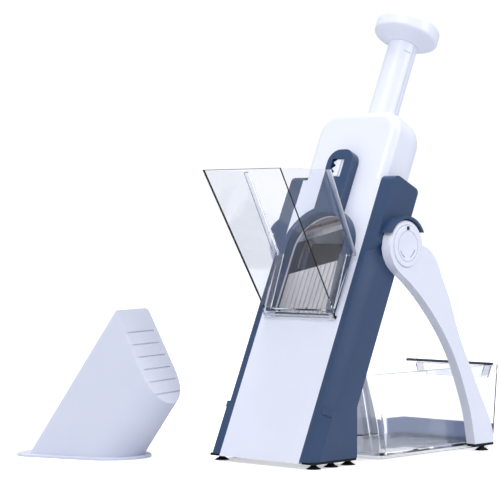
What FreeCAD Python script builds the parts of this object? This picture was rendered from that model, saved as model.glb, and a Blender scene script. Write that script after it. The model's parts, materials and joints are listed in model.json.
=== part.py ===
import FreeCAD, Part
import math
import os

V = FreeCAD.Vector

# Mandoline slicer that stands on two side frames and two folding legs.
# All sizes are in millimetres. World axes: X to the right, Y to the back, Z up.
# The origin is on the table, in the middle plane, straight below the leg pivots.
# The body leans back, so most pieces are drawn upright in "body axes" first:
# X right, T into the body from the front panel's face (drawn as Y), S up the
# panel from its bottom edge (drawn as Z). lean() then puts them in the world.

# ---- clearances ----
RUN = 0.05          # radial running fit of a shaft in its bore
GAP = 0.35          # gap between pieces that move past each other
SEAT = 0.15         # gap between a loose piece and what it drops over

# ---- body ----
LEAN = 24.4         # lean of the body, degrees from upright
PANEL_FOOT = 3.9    # height of the front panel's bottom edge line
PIVOT_T = 27.8      # leg pivot, depth behind the front face
PIVOT_S = 201.6     # leg pivot, distance up the panel
BODY_W = 86.5       # width of the white body
BODY_TOP = 315.0    # top of the white body up the panel
BODY_T = 46.0       # depth of the upper body
WALL = 2.2          # moulded wall thickness
SPLIT_T = 20.0      # parting plane of the front and rear shells
REAR_FROM = 205.0   # lowest point of the rear shell
LOW_CORNER = 250.0  # below this the panel's edges are square to meet the frames
TOP_R = 20.0        # radius of the body's top corners seen from the front
EDGE_R = 8.0        # radius of the upper body's upright edges
BACK_R = 22.0       # radius of the top edge at the back
RECESS_HALF = 39.6  # shallow recess under the hopper's lip: half width, two heights, depth
RECESS_S0, RECESS_S1, RECESS_D = 121.5, 127.5, 0.8

# ---- side frames ----
FRAME_W = 13.75     # width of one frame
FRAME_T = 33.7      # depth of one frame
FRAME_TOP = 255.0
FRAME_HEEL = 56.3   # upright rear face of the frame's foot, behind the panel's foot
BEVEL_IN, BEVEL_T = 7.5, 13.0       # long bevel: across the front, down the side
BEVEL_S0, BEVEL_S1 = 48.5, 184.8
TOE_IN, TOE_T, TOE_S = 5.2, 8.5, 43.5   # short bevel at the foot
LAND_IN, LAND_T = 4.2, 6.8          # narrow land between the two bevels
HOOD_R, HOOD_WALL, HOOD_OUT = 22.3, 2.4, 9.8
PAD_H = 2.0
FOOT_H = 3.9        # free height of a suction foot
FOOT_R = 6.0
FOOT_Y = (10.9, 31.9, 52.9)         # behind the panel's foot

# ---- chute bezel ----
BEZEL_H = 9.0       # height of the arch over the panel
BEZEL_LOW_H = 4.0   # height of its legs at the foot
BEZEL_HALF = 36.0
BEZEL_ARC_S = 186.0
NECK_H = 8.4
NECK_HALF = 14.0
NECK_TOP = 274.5
MOUTH_HALF = 30.3
MOUTH_S = 127.0
BEZEL_S0 = 128.0
WINDOW = (-8.4, 4.8, 248.8, 265.6)
WINDOW_WALL = 1.3   # thickness of the neck's face around the window
POCKET_SIDE = 5.0   # the slider's room to the right of the window
TOOTH = 4.2         # length of a slider tooth
LOCK_TRAVEL = 3.0   # how far the slider moves to the right

# ---- plunger and carriage ----
ROD_R = 12.7
ROD_T = 27.0
KNOB_R = 28.0
KNOB_S = BODY_TOP + 76.0    # underside of the knob
BLADE_T = 2.7       # plane of the blade's edge
SLANT = 15.0        # slant of the blade and of the runway's top edge, degrees
BLADE_S = 201.7     # blade edge at the middle
RUNWAY_S = 173.4    # runway top edge at the middle
RUNWAY_LOW = 130.8
RUNWAY_BOW = 3.2    # the lower edge rises this much in the middle
BLADE_DEEP = 5.4    # width of the blade strip
COMB_S = 10.4       # comb line above the blade's edge
RUNWAY_RECESS = 0.8 # thinnest slice
RIB_PITCH = 5.0
RAIL_IN, RAIL_OUT = 31.0, 36.2
HEAD_HALF = 19.0    # half width of the carriage head behind the guide rods
COMB_TRAVEL = 1.7
HEAD_S = BODY_TOP - 30.0    # underside of the carriage head
GUIDE_R, GUIDE_X, GUIDE_T = 2.5, 36.4, 18.0
COMB_SKIN = 0.75    # panel thickness left in front of the comb
LUG_S, LUG_H = 165.0, 10.0
BRACKET_S = 38.0
WIRE_R, COILS, SPRING_R = 0.55, 15, 3.5

# ---- hopper ----
RIM_FRONT, RIM_BACK, RIM_Z = -20.3, 35.2, 238.0     # Y from the panel's foot
RIM_HALF, NECK_IN = 42.4, 38.4
CLEAR_WALL = 1.6
FLANGE = 5.0

# ---- container ----
BOX_RIM_HALF, BOX_HALF = 54.4, 51.4
BOX_H = 71.3
BOX_Y0, BOX_RIM_Y0 = 93.2, 72.6
BOX_Y1, BOX_RIM_Y1 = 249.6, 252.6
BOX_WALL = 2.0
BOX_R_FRONT, BOX_R_REAR = 9.0, 3.0
BOX_BASE, BOX_FLOOR = 3.5, 2.4      # underside above the table, floor thickness

# ---- legs and dials ----
LEG_X0, LEG_W = BODY_W / 2.0 + FRAME_W + GAP, 9.0
BULB_R = 21.4
DIAL_R = 17.2
BOSS_R = 8.0
SHAFT_R = 4.0
LEG_FRONT = [(85.2, 176.0), (95.5, 157.5), (108.0, 149.0), (131.0, 131.0), (156.0, 105.3),
             (174.6, 79.3), (187.6, 53.0), (194.6, 35.6), (199.2, 18.0), (201.8, 6.2)]
LEG_BACK = [(228.6, 6.2), (224.0, 23.9), (213.0, 42.2), (201.0, 62.1), (192.5, 77.0),
            (176.8, 105.6), (165.0, 132.9), (155.2, 150.5), (148.9, 162.0), (129.9, 176.0)]

# ---- food pusher ----
PUSHER_W = 60.0         # width, a little less than the mouth it presses into
PUSHER_DEEP = 91.3      # front to back at the flange
PUSHER_TIP = (83.0, 122.0)      # top edge: forward of the front foot, height
PUSHER_END = (121.2, 46.3)      # lowest point of the ribbed face
PUSHER_AT = (-185.5, -83.3)     # near left corner, from the panel's foot
PUSHER_TURN = 18.0
PUSHER_WALL = 2.2
PUSHER_RIM = 5.5
PUSHER_REACH = 9.0      # the flange stands out this much further in front
GROOVES, GROOVE_PITCH = 6, 10.0

COS, SIN = math.cos(math.radians(LEAN)), math.sin(math.radians(LEAN))
TAN = math.tan(math.radians(SLANT))
COMB_LOW, COMB_HIGH = BLADE_S + COMB_S - 16.0, BLADE_S + COMB_S + 2.6
FOOT_Y0 = -(PIVOT_T * COS + PIVOT_S * SIN)      # the panel's foot in world Y
PIVOT_Z = PANEL_FOOT - PIVOT_T * SIN + PIVOT_S * COS
HALF = BODY_W / 2.0
FRAME_OUT = HALF + FRAME_W
PAD_Z = FOOT_H + PAD_H


def box(x0, x1, y0, y1, z0, z1):
    return Part.makeBox(x1 - x0, y1 - y0, z1 - z0, V(x0, y0, z0))


def cyl(r, length, at, axis):
    return Part.makeCylinder(r, length, V(*at), V(*axis))


def prism(points, axis, a, b):
    """A polygon drawn in the two other axes, extruded from a to b along axis."""
    put = {"x": lambda u, v: V(a, u, v), "y": lambda u, v: V(u, a, v), "z": lambda u, v: V(u, v, a)}
    move = {"x": V(b - a, 0, 0), "y": V(0, b - a, 0), "z": V(0, 0, b - a)}
    ring = [put[axis](u, v) for u, v in points]
    return Part.Face(Part.makePolygon(ring + [ring[0]])).extrude(move[axis])


def lean(shape):
    """From body axes to the world."""
    out = shape.copy()
    out.rotate(V(0, 0, 0), V(1, 0, 0), -LEAN)
    out.translate(V(0, FOOT_Y0, PANEL_FOOT))
    return out


def above(shape, z):
    return shape.common(box(-400, 400, -400, 400, z, 600))


def mirror(shape):
    return shape.mirror(V(0, 0, 0), V(1, 0, 0))


def rounded(shape, r, pick):
    edges = [e for e in shape.Edges if pick(e.BoundBox)]
    return shape.makeFillet(r, edges)


def cut(shape, *tools):
    for tool in tools:
        shape = shape.cut(tool)
    return shape


def save(name, shape):
    solids = shape.Solids
    shape = solids[0] if len(solids) == 1 else Part.makeCompound(solids)
    shape.exportStep("parts/%s.step" % name)


def pair(name, shape):
    """A right-hand piece and its mirror image on the left, as two nodes."""
    save(name + "_right", shape)
    save(name + "_left", mirror(shape))


def both(shape):
    return Part.makeCompound([shape, mirror(shape)])


os.makedirs("parts", exist_ok=True)


# ================= white shells =================
def body_block(o):
    """The white body's outline, shrunk by o on every side but the bottom."""
    low = box(-HALF + o, HALF - o, o, FRAME_T - o, -40, LOW_CORNER)
    top = box(-HALF + o, HALF - o, o, BODY_T - o, REAR_FROM - 10, BODY_TOP - o)
    top = rounded(top, TOP_R - o, lambda b: b.ZMin > 300 and b.XLength < 1)
    top = rounded(top, BACK_R - o,
                  lambda b: b.ZMin > 300 and b.YMin > BODY_T - o - 1 and b.XLength > 30)
    top = rounded(top, EDGE_R - o, lambda b: b.YMax < o + 0.01 and b.ZMax > REAR_FROM)
    return low.fuse(top)


hollow = body_block(0).cut(body_block(WALL))
front = hollow.common(box(-100, 100, -10, SPLIT_T, -40, 400))
rear = hollow.common(box(-100, 100, SPLIT_T, 100, REAR_FROM, 400))
mouth = box(-MOUTH_HALF, MOUTH_HALF, -5, 5, MOUTH_S, BEZEL_ARC_S)
mouth = mouth.fuse(cyl(MOUTH_HALF, 10, (0, -5, BEZEL_ARC_S), (0, 1, 0)))
window = box(WINDOW[0], WINDOW[1], -20, 5, WINDOW[2], WINDOW[3])
rod_hole = cyl(ROD_R + 2.4, 40, (0, ROD_T, BODY_TOP - 20), (0, 0, 1))
# screws through the side walls into the frames: depth behind the front face, height
FRAME_SCREW_AT = ((8.0, 30.0), (8.0, 112.0), (8.0, 240.0), (27.0, 242.0))
SCREW_R = 1.5
screw_holes = [cyl(SCREW_R + 0.1, 60, (HALF - 10, t, s), (1, 0, 0)) for t, s in FRAME_SCREW_AT]
screw_holes += [mirror(h) for h in screw_holes]
shaft_hole = cyl(SHAFT_R + 3.2, 20, (HALF - 10, PIVOT_T, PIVOT_S), (1, 0, 0))
shaft_hole = shaft_hole.fuse(mirror(shaft_hole))
recess = box(-RECESS_HALF, RECESS_HALF, -1, RECESS_D, RECESS_S0, RECESS_S1)
# two screws from the back join the rear shell to bosses on the front one
SHELL_SCREW_AT = ((-27.0, BODY_TOP - 9.5), (27.0, BODY_TOP - 9.5))
SCREW_HEAD_T, SCREW_TIP_T = 35.5, 10.0
BOSS_TUBE_R = 4.0
room = body_block(WALL / 2.0)
heads = []
for x, s in SHELL_SCREW_AT:
    tube = cyl(BOSS_TUBE_R, BODY_T, (x, WALL / 2.0, s), (0, 1, 0)).common(room)
    pilot = cyl(SCREW_R + 0.02, 60, (x, SCREW_TIP_T - 2, s), (0, 1, 0))
    front = front.fuse(tube.common(box(-60, 60, 0, SPLIT_T, 0, 400))).cut(pilot)
    rear = rear.fuse(tube.common(box(-60, 60, SPLIT_T, 60, 0, 400)))
    rear = rear.cut(pilot).cut(cyl(3.2, 30, (x, SCREW_HEAD_T, s), (0, 1, 0)))
    head = cyl(3.0, 2.0, (x, SCREW_HEAD_T, s), (0, 1, 0))
    head = head.fuse(cyl(SCREW_R, SCREW_HEAD_T - SCREW_TIP_T, (x, SCREW_TIP_T, s), (0, 1, 0)))
    heads.append(head.cut(box(x - 2.2, x + 2.2, SCREW_HEAD_T + 1.1, SCREW_HEAD_T + 3, s - 0.5, s + 0.5)))
# hollow behind the panel that the julienne comb comes forward into
comb_room = [(-27.0, COMB_LOW - 27 * TAN), (27.0, COMB_LOW + 27 * TAN),
             (27.0, COMB_HIGH + 27 * TAN), (-27.0, COMB_HIGH - 27 * TAN)]
comb_room = prism(comb_room, "y", COMB_SKIN, WALL + 0.1)
front = cut(front, mouth, rod_hole, recess, comb_room, *screw_holes)
front = above(lean(front), PANEL_FOOT + 0.5)
save("front_shell", front)
save("rear_shell", lean(cut(rear, rod_hole, shaft_hole, *screw_holes)))
save("shell_screws", lean(Part.makeCompound(heads)))

# ================= side frames =================
reach = lambda s: (FRAME_HEEL - s * SIN) / COS      # T of the upright heel face at height S
profile = [(0, -40), (0, FRAME_TOP), (FRAME_T, FRAME_TOP),
           (FRAME_T, (FRAME_HEEL - FRAME_T * COS) / SIN), (reach(-40), -40)]
frame = prism(profile, "x", HALF, FRAME_OUT)
frame = rounded(frame, 6.5, lambda b: b.ZMin > 250 and b.YMax < 1 and b.XLength > 5)
frame = rounded(frame, 4.0, lambda b: b.ZMin > 250 and b.YMin > FRAME_T - 1 and b.XLength > 5)
edge = FRAME_OUT - BEVEL_IN
bevel = prism([(edge, 0), (FRAME_OUT + 1, -1), (FRAME_OUT + 1, BEVEL_T + 1.8), (FRAME_OUT, BEVEL_T)],
              "z", BEVEL_S0, BEVEL_S1 + 20)
bevel = bevel.common(prism([(edge - 1, 0), (FRAME_OUT + 2, 0), (FRAME_OUT + 2, BEVEL_S1 + 13),
                            (edge - 1, BEVEL_S1 - 1.3)], "y", -5, 40))
toe = FRAME_OUT - TOE_IN
short = prism([(toe, 0), (FRAME_OUT + 1, -1), (FRAME_OUT + 1, TOE_T + 1.6), (FRAME_OUT, TOE_T)],
              "z", -40, TOE_S)
land = prism([(FRAME_OUT - LAND_IN, 0), (FRAME_OUT + 1, -1), (FRAME_OUT + 1, LAND_T + 1.6),
              (FRAME_OUT, LAND_T)], "z", TOE_S - 0.01, BEVEL_S0 + 0.01)
frame = cut(frame, bevel, short, land)
# moulding pockets in the inner face, with webs between them
for s0, s1 in ((66.0, 104.0), (107.0, 140.0), (143.0, 174.0), (229.0, 236.0)):
    frame = frame.cut(box(HALF - 1, FRAME_OUT - 2.6, 15.0, FRAME_T - 3.0, s0, s1))
hood = cyl(HOOD_R + HOOD_WALL, HOOD_OUT, (FRAME_OUT, PIVOT_T, PIVOT_S), (1, 0, 0))
hood = hood.cut(cyl(HOOD_R, HOOD_OUT + 2, (FRAME_OUT - 1, PIVOT_T, PIVOT_S), (1, 0, 0)))
boss = cyl(BOSS_R - RUN, 5.0, (FRAME_OUT, PIVOT_T, PIVOT_S), (1, 0, 0))
frame = frame.fuse(boss).cut(cyl(SHAFT_R + RUN, 60, (HALF - 5, PIVOT_T, PIVOT_S), (1, 0, 0)))
frame = cut(frame, *[cyl(SCREW_R + 0.05, 8, (HALF - 1, t, s), (1, 0, 0)) for t, s in FRAME_SCREW_AT])
frame, hood = lean(frame), lean(hood)
hood = hood.common(box(0, 100, -60, 60, PIVOT_Z + 11.0, PIVOT_Z + 40))
tie_at = ((46.0, 13.0), (50.0, 40.0))       # Y from the panel's foot, Z
frame = frame.fuse(hood).removeSplitter()
for y, z in tie_at:
    frame = frame.cut(cyl(3.0, 9.0, (HALF - 1, FOOT_Y0 + y, z), (1, 0, 0)))
frame = above(frame, PAD_Z)
pair("side_frame", frame)

ties = [cyl(3.0, BODY_W + 12.0, (-HALF - 6, FOOT_Y0 + y, z), (1, 0, 0)) for y, z in tie_at]
save("tie_rods", Part.makeCompound(ties))

pad = box(HALF + 0.6, FRAME_OUT - 0.4, FOOT_Y0 + 2.6, FOOT_Y0 + FRAME_HEEL + 0.4, FOOT_H, PAD_Z)
pad = rounded(pad, 1.5, lambda b: b.ZLength > 1.9)
pair("frame_pad", pad)


def suction_foot(x, y):
    cup = Part.makeCone(FOOT_R, 3.4, 2.2, V(x, y, 0))
    cup = cup.cut(Part.makeCone(FOOT_R - 1.3, 1.6, 1.4, V(x, y, -0.01)))
    return cup.fuse(cyl(2.3, FOOT_H - 2.1, (x, y, 2.1), (0, 0, 1)))


foot_x = (HALF + FRAME_OUT) / 2.0
save("suction_feet_front", both(Part.makeCompound([suction_foot(foot_x, FOOT_Y0 + y) for y in FOOT_Y])))

frame_screw = []
inner = HALF - WALL
for t, s in FRAME_SCREW_AT:
    screw = cyl(3.0, 1.9, (inner - 1.9, t, s), (1, 0, 0))
    screw = screw.fuse(cyl(SCREW_R, 8.0, (inner, t, s), (1, 0, 0)))
    frame_screw.append(screw.cut(box(inner - 3, inner - 1.1, t - 0.5, t + 0.5, s - 2, s + 2)))
save("frame_screws", lean(both(Part.makeCompound(frame_screw))))

# ================= chute bezel =================
ring = box(-BEZEL_HALF, BEZEL_HALF, -BEZEL_H, 0, BEZEL_S0, BEZEL_ARC_S)
ring = ring.fuse(cyl(BEZEL_HALF, BEZEL_H, (0, -BEZEL_H, BEZEL_ARC_S), (0, 1, 0))).removeSplitter()
ring = rounded(ring, 0.7, lambda b: b.YMax < -BEZEL_H + 0.01 and b.ZMax > BEZEL_ARC_S)
neck = box(-NECK_HALF, NECK_HALF, -NECK_H, 0, BEZEL_ARC_S + 20, NECK_TOP)
neck = rounded(neck, 11.5, lambda b: b.ZMin > NECK_TOP - 1 and b.XLength < 1)
neck = rounded(neck, 0.8, lambda b: b.YMax < -NECK_H + 0.01 and b.ZMax > BEZEL_ARC_S + 21)
through = box(-MOUTH_HALF, MOUTH_HALF, -20, 5, BEZEL_S0 - 10, BEZEL_ARC_S)
through = through.fuse(cyl(MOUTH_HALF, 25, (0, -20, BEZEL_ARC_S), (0, 1, 0)))
# the legs get lower towards their feet
taper_cut = prism([(-30, BEZEL_S0 - 20), (-BEZEL_LOW_H, BEZEL_S0 - 20), (-BEZEL_LOW_H, BEZEL_S0),
                   (-BEZEL_H, BEZEL_ARC_S), (-30, BEZEL_ARC_S)], "x", -60, 60)
pocket = box(WINDOW[0] - 0.6, WINDOW[1] + POCKET_SIDE, -NECK_H + WINDOW_WALL, 5,
             WINDOW[2] - 2.0 - GAP, WINDOW[3] + 2.0 + GAP)
save("chute_bezel", lean(cut(ring.fuse(neck), through, taper_cut, window, pocket)))

# toothed lock slider in the neck: three teeth point to the left
slider_t0, slider_t1 = -NECK_H + WINDOW_WALL + GAP, -GAP
tip, root = WINDOW[0] + 0.4, WINDOW[0] + TOOTH
right = WINDOW[1] + 1.2
pitch = (WINDOW[3] - WINDOW[2]) / 3.0
teeth = [(right, WINDOW[2] - 2.0), (right, WINDOW[3] + 2.0), (root, WINDOW[3] + 2.0)]
for i in range(3):
    z = WINDOW[3] - i * pitch
    teeth += [(root, z), (tip, z - pitch / 2.0)]
teeth += [(root, WINDOW[2]), (root, WINDOW[2] - 2.0)]
slider = prism(teeth, "y", slider_t0, slider_t1)
ridge = box(root + 1.2, WINDOW[1] - LOCK_TRAVEL - GAP, -NECK_H + 0.3, slider_t0 + 0.1,
            WINDOW[2] + 0.8, WINDOW[3] - 0.8)
save("lock_slider", lean(slider.fuse(ridge)))

# ================= guides, springs, slice chute =================
bracket = box(-HALF + WALL, HALF - WALL, 13.0, 23.0, BRACKET_S, BRACKET_S + 9)
rods, springs = [], []
for x in (-GUIDE_X, GUIDE_X):
    bracket = bracket.cut(cyl(GUIDE_R, 20, (x, GUIDE_T, BRACKET_S + 3), (0, 0, 1)))
    rods.append(cyl(GUIDE_R, BODY_TOP - WALL - BRACKET_S - 3, (x, GUIDE_T, BRACKET_S + 3), (0, 0, 1)))
    low, high = BRACKET_S + 9 + WIRE_R, LUG_S - WIRE_R - 0.1
    helix = Part.makeHelix((high - low) / COILS, high - low, SPRING_R)
    wire = Part.Wire(Part.makeCircle(WIRE_R, V(SPRING_R, 0, 0), V(0, 1, 0)))
    coil = Part.Wire(helix).makePipeShell([wire], True, True)
    coil.translate(V(x, GUIDE_T, low))
    springs.append(coil)
save("guide_bracket", lean(bracket))
rod_top = body_block(WALL)
save("guide_rods", lean(Part.makeCompound([r.common(rod_top) for r in rods])))
save("return_springs", lean(Part.makeCompound(springs)))

chute_y, chute_z = 67.0, 92.0
slope = [(chute_y, chute_z), (chute_y + 2.2, chute_z + 1.2), (89.5, 75.6), (88.0, 73.8)]
chute = prism([(FOOT_Y0 + y, z) for y, z in slope], "x", -31.0, 31.0)
for side in (-1, 1):
    a, b = sorted((side * 29.0, side * 31.0))
    cheek = [(chute_y, chute_z), (chute_y + 5, chute_z + 6), (89.0, 84.0), (88.6, 74.6)]
    chute = chute.fuse(prism([(FOOT_Y0 + y, z) for y, z in cheek], "x", a, b))
arms = box(-HALF, HALF, FOOT_Y0 + chute_y - 1.0, FOOT_Y0 + chute_y + 2.2, chute_z - 5.0, chute_z + 1.2)
save("slice_chute", chute.fuse(arms).removeSplitter())

# plate behind the cutting gap that turns the slices down to the chute
GUARD_T, GUARD_WALL = 31.0, 2.2
GUARD_S0 = 122.0
guard = box(-HALF + 2.5, HALF - 2.5, GUARD_T, GUARD_T + GUARD_WALL, GUARD_S0, REAR_FROM - GAP)
for s in (GUARD_S0 + 8, GUARD_S0 + 46):
    guard = guard.fuse(box(-HALF, HALF, GUARD_T, GUARD_T + GUARD_WALL, s, s + 10))
save("rear_guard", lean(guard.removeSplitter()))

bush = cyl(ROD_R + 2.4, 12.0, (0, ROD_T, BODY_TOP - 12.0), (0, 0, 1))
bush = bush.fuse(cyl(ROD_R + 3.8, 1.2, (0, ROD_T, BODY_TOP), (0, 0, 1)))
bush = bush.cut(cyl(ROD_R + RUN, 40, (0, ROD_T, BODY_TOP - 20), (0, 0, 1)))
save("rod_bush", lean(bush))

# ================= carriage =================
blade_y = lambda x: BLADE_S + x * TAN
runway_y = lambda x: RUNWAY_S + x * TAN
frame_parts = []
for side in (-1, 1):
    a, b = sorted((side * RAIL_IN, side * RAIL_OUT))
    frame_parts.append(box(a, b, BLADE_T, 12.5, 128.0, HEAD_S + 14))
    a, b = sorted((side * (RAIL_IN + 0.2), side * (HALF - WALL - GAP)))
    for s in (LUG_S, HEAD_S):
        frame_parts.append(box(a, b, 12.0, 22.6, s, s + LUG_H))
frame_parts.append(box(-RAIL_IN - 1, RAIL_IN + 1, 11.8, 14.0, 128.0, 134.0))
frame_parts.append(box(-RAIL_IN - 1, RAIL_IN + 1, 6.4, 9.0, 222.0, HEAD_S + 1))
carriage = frame_parts[0].multiFuse(frame_parts[1:]).removeSplitter()
head_t = min(ROD_T + ROD_R + 1.6, BODY_T - WALL - GAP)
head = box(-HEAD_HALF, HEAD_HALF, 20, head_t, HEAD_S, HEAD_S + 14)
head = rounded(head, 9.0, lambda b: b.ZLength > 10 and b.YMin > 30)
head = head.fuse(box(-RAIL_IN - 1, RAIL_IN + 1, 6.4, 22.6, HEAD_S, HEAD_S + 14))
head = head.fuse(cyl(9.6, 12.0, (0, ROD_T, HEAD_S + 14), (0, 0, 1)))
carriage = carriage.fuse(head).removeSplitter()
for x in (-GUIDE_X, GUIDE_X):
    carriage = carriage.cut(cyl(GUIDE_R + 1.2, 300, (x, GUIDE_T, 60), (0, 0, 1)))
save("carriage", lean(carriage))
bushes = []
for x in (-GUIDE_X, GUIDE_X):
    for s in (LUG_S, HEAD_S):
        ring = cyl(GUIDE_R + 1.2, LUG_H, (x, GUIDE_T, s), (0, 0, 1))
        bushes.append(ring.cut(cyl(GUIDE_R + RUN, LUG_H + 2, (x, GUIDE_T, s - 1), (0, 0, 1))))
save("guide_bushes", lean(Part.makeCompound(bushes)))


def slanted(half, low, high, t0, t1):
    """A strip between two lines parallel to the blade's edge."""
    ring = [(-half, blade_y(-half) + low), (half, blade_y(half) + low),
            (half, blade_y(half) + high), (-half, blade_y(-half) + high)]
    return prism(ring, "y", t0, t1)


PLATE_T, BLADE_THICK = 3.6, 1.0
plate = [(-RAIL_IN, blade_y(-RAIL_IN) + 2.6), (RAIL_IN, blade_y(RAIL_IN) + 2.6),
         (RAIL_IN, HEAD_S + 13.5), (-RAIL_IN, HEAD_S + 13.5)]
upper = prism(plate, "y", BLADE_T, BLADE_T + PLATE_T)
upper = cut(upper, slanted(RAIL_IN - 3, COMB_S - 1.5, COMB_S + 1.5, 0, 12),
            slanted(RAIL_IN, 0, BLADE_DEEP + 0.05, BLADE_T - 1, BLADE_T + BLADE_THICK))
blade = slanted(RAIL_IN - 0.2, 0, BLADE_DEEP, BLADE_T, BLADE_T + BLADE_THICK)
grind = prism([(BLADE_T + 0.15, -0.2), (BLADE_T + 1.2, -0.2), (BLADE_T + 1.2, 2.4)], "x", -40, 40)
grind.rotate(V(0, 0, 0), V(0, 1, 0), -SLANT)
grind.translate(V(0, 0, BLADE_S))
blade = blade.cut(grind)
screws = []
for x in (-22.0, 0.0, 22.0):
    z = blade_y(x) + BLADE_DEEP - 1.4
    hole = cyl(0.9, 8, (x, 0, z), (0, 1, 0))
    blade, upper = blade.cut(hole), upper.cut(hole)
    back = BLADE_T + PLATE_T
    screw = cyl(0.9, PLATE_T, (x, BLADE_T, z), (0, 1, 0)).fuse(cyl(1.8, 1.2, (x, back, z), (0, 1, 0)))
    screws.append(screw.cut(box(x - 1.4, x + 1.4, back + 0.6, back + 2, z - 0.25, z + 0.25)))
save("upper_plate", lean(upper))
save("slicing_blade", lean(blade))
save("blade_screws", lean(Part.makeCompound(screws)))

# julienne comb: small upright cutters on a bar behind the upper plate
bar_t = BLADE_T + PLATE_T + COMB_TRAVEL + 0.2
save("comb_bar", lean(slanted(27.0, COMB_S - 1.3, COMB_S + 1.3, bar_t, bar_t + 1.8)))
cutters = []
for i in range(11):
    x = -25.0 + 5.0 * i
    z = blade_y(x) + COMB_S
    tooth = [(BLADE_T + 0.1, z - 1.1), (bar_t, z - 1.1), (bar_t, z + 1.1), (BLADE_T + 1.2, z + 1.1)]
    cutters.append(prism(tooth, "x", x - 0.25, x + 0.25))
save("julienne_comb", lean(Part.makeCompound(cutters)))

# ribbed runway below the cutting gap
run_half = RAIL_IN - GAP
run_t = BLADE_T + RUNWAY_RECESS
run_pts = [(-run_half, RUNWAY_LOW), (run_half, RUNWAY_LOW),
           (run_half, runway_y(run_half)), (-run_half, runway_y(-run_half))]
runway = prism(run_pts, "y", run_t + 0.9, run_t + 3.0)
count = int((run_half - 1.1) // RIB_PITCH)
ribs = []
for i in range(-count, count + 1):
    x = i * RIB_PITCH
    ribs.append(box(x - 1.1, x + 1.1, run_t, run_t + 1.2, RUNWAY_LOW + 1.0, runway_y(x) - 1.0))
runway = runway.multiFuse(ribs)
# the lower edge is bowed, with a small notch in the middle
bow_r = (run_half ** 2 + RUNWAY_BOW ** 2) / (2.0 * RUNWAY_BOW)
runway = runway.cut(cyl(bow_r, 20, (0, -5, RUNWAY_LOW + RUNWAY_BOW - bow_r), (0, 1, 0)))
runway = runway.cut(cyl(1.6, 20, (0, -5, RUNWAY_LOW + RUNWAY_BOW), (0, 1, 0)))
save("runway_plate", lean(runway))

# ================= rod and knob =================
rod = cyl(ROD_R, KNOB_S + 4 - HEAD_S - 14, (0, ROD_T, HEAD_S + 14), (0, 0, 1))
rod = rod.cut(cyl(9.6, 12.0, (0, ROD_T, HEAD_S + 14), (0, 0, 1)))
rod = rod.cut(cyl(10.2, 200, (0, ROD_T, HEAD_S + 28), (0, 0, 1)))
# seam groove up the right-hand side, and a short slot under the knob
rod = rod.cut(box(ROD_R - 0.8, ROD_R + 2, ROD_T - 0.8, ROD_T + 0.8, HEAD_S + 30, KNOB_S - 2))
slot = box(-3.6, 3.6, -ROD_R - 1, -ROD_R + 0.9, KNOB_S - 9.6, KNOB_S - 8.6)
slot.rotate(V(0, 0, 0), V(0, 0, 1), 65)
slot.translate(V(0, ROD_T, 0))
rod = rod.cut(slot)
save("plunger_rod", lean(rod))
outline = [(0, KNOB_S + 4), (ROD_R + 0.05, KNOB_S + 4), (ROD_R + 0.05, KNOB_S), (ROD_R + 2.0, KNOB_S),
           (KNOB_R - 5.0, KNOB_S + 5.0), (KNOB_R - 0.6, KNOB_S + 7.0), (KNOB_R, KNOB_S + 8.5),
           (KNOB_R, KNOB_S + 17.0), (KNOB_R - 1.0, KNOB_S + 19.0), (KNOB_R - 3.2, KNOB_S + 20.2),
           (20.2, KNOB_S + 20.6), (20.2, KNOB_S + 18.6), (0, KNOB_S + 18.6)]
ring = [V(r, 0, s) for r, s in outline]
knob = Part.Face(Part.makePolygon(ring + [ring[0]])).revolve(V(0, 0, 0), V(0, 0, 1), 360)
knob.translate(V(0, ROD_T, 0))
save("palm_knob", lean(knob))
cap = Part.makeCylinder(20.1, 2.4, V(0, ROD_T, KNOB_S + 18.6))
cap = rounded(cap, 0.8, lambda b: b.ZMin > KNOB_S + 20.5)
save("knob_cap", lean(cap))


# ================= legs, pads, dials =================
def curve(points):
    line = Part.BSplineCurve()
    line.interpolate([V(0, FOOT_Y0 + y, z) for y, z in points])
    return line.toShape()


leg_x1 = LEG_X0 + LEG_W
front_edge, back_edge = curve(LEG_FRONT), curve(LEG_BACK)


def straight(p, q):
    return Part.makeLine(V(0, FOOT_Y0 + p[0], p[1]), V(0, FOOT_Y0 + q[0], q[1]))


low, high = straight(LEG_FRONT[-1], LEG_BACK[0]), straight(LEG_BACK[-1], LEG_FRONT[0])
leg = Part.Face(Part.Wire([front_edge, low, back_edge, high])).extrude(V(LEG_W, 0, 0))
leg.translate(V(LEG_X0, 0, 0))
bulb = cyl(BULB_R, LEG_W, (LEG_X0, 0, PIVOT_Z), (1, 0, 0))
bulb = rounded(bulb, 2.6, lambda b: b.XMin > leg_x1 - 0.1 and b.XLength < 0.1)
leg = leg.fuse(bulb).removeSplitter()
leg = cut(leg, cyl(BOSS_R, 20, (LEG_X0 - 5, 0, PIVOT_Z), (1, 0, 0)),
          cyl(DIAL_R + GAP, 20, (leg_x1 - 3.6, 0, PIVOT_Z), (1, 0, 0)))
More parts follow.
